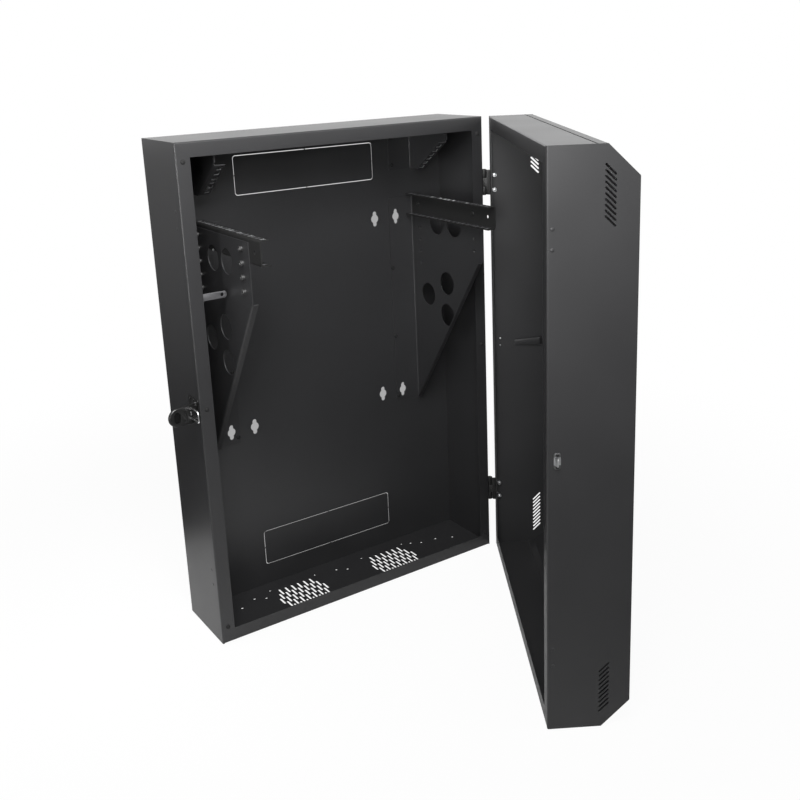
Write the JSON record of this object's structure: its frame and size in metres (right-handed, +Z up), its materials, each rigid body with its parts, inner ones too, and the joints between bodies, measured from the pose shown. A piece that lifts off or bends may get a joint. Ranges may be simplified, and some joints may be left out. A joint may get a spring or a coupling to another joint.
{
  "type": "vertical wall mount rack",
  "caption": "Shallow folded steel wall cabinet whose brackets and rails hold rack equipment upright behind a deep chamfered door on side hinges with a draw latch.",
  "frame": {"origin": "centre of the back panel's wall face", "axes": "+X to the right seen from the front, +Y into the wall, +Z up"},
  "size_m": [0.8288, 0.7729, 0.935],
  "materials": {
    "cabinet_coat": "satin powder coat on folded sheet",
    "door_coat": "satin powder coat on folded sheet",
    "bracket_coat": "satin powder coat on folded plate",
    "black_hardware": "black oxide fasteners and hinge leaves",
    "latch_coat": "satin coat on cast and pressed latch pieces",
    "zinc_plate": "bright zinc plate",
    "bail_chrome": "polished wire",
    "bumper_rubber": "moulded"
  },
  "bodies": {
    "cabinet": {"left_side_panel": "cabinet_coat", "right_side_panel": "cabinet_coat", "top_panel": "cabinet_coat", "bottom_panel": "cabinet_coat", "back_panel": "cabinet_coat", "left_bracket": "bracket_coat", "right_bracket": "bracket_coat", "left_rail": "bracket_coat", "right_rail": "bracket_coat", "left_patch_bracket": "bracket_coat", "right_patch_bracket": "bracket_coat", "upper_hinge_cabinet_leaf": "black_hardware", "lower_hinge_cabinet_leaf": "black_hardware", "upper_hinge_pin": "black_hardware", "lower_hinge_pin": "black_hardware", "door_bumpers": "bumper_rubber", "cable_tie_tab": "zinc_plate", "latch_base": "latch_coat", "latch_pivot_pins": "zinc_plate"},
    "door": {"door_free_side_panel": "door_coat", "door_hinge_side_panel": "door_coat", "door_top_panel": "door_coat", "door_bottom_panel": "door_coat", "door_front_skin": "door_coat", "upper_hinge_door_leaf": "black_hardware", "lower_hinge_door_leaf": "black_hardware", "latch_keeper": "zinc_plate", "door_tie_tab": "door_coat"},
    "latch_lever": {"latch_lever": "latch_coat"},
    "latch_bail": {"latch_bail": "bail_chrome"}
  },
  "joints": [
    {"name": "door_swing", "type": "hinge", "parent": "cabinet", "child": "door", "pos_m": [0.328, -0.1441, 0], "axis": [0, 0, 1], "range_deg": [-58.6, 101.4]},
    {"name": "latch_lever_turn", "type": "hinge", "parent": "cabinet", "child": "latch_lever", "pos_m": [-0.327, -0.149, 0], "axis": [0, 0, 1], "range_deg": [-95, 15]},
    {"name": "latch_bail_turn", "type": "hinge", "parent": "latch_lever", "child": "latch_bail", "pos_m": [-0.3361, -0.14829, 0], "axis": [0, 0, 1], "range_deg": [-15, 95]}
  ],
  "couplings": [
    {"joint": "latch_bail_turn", "follows": "latch_lever_turn", "ratio": -1}
  ]
}
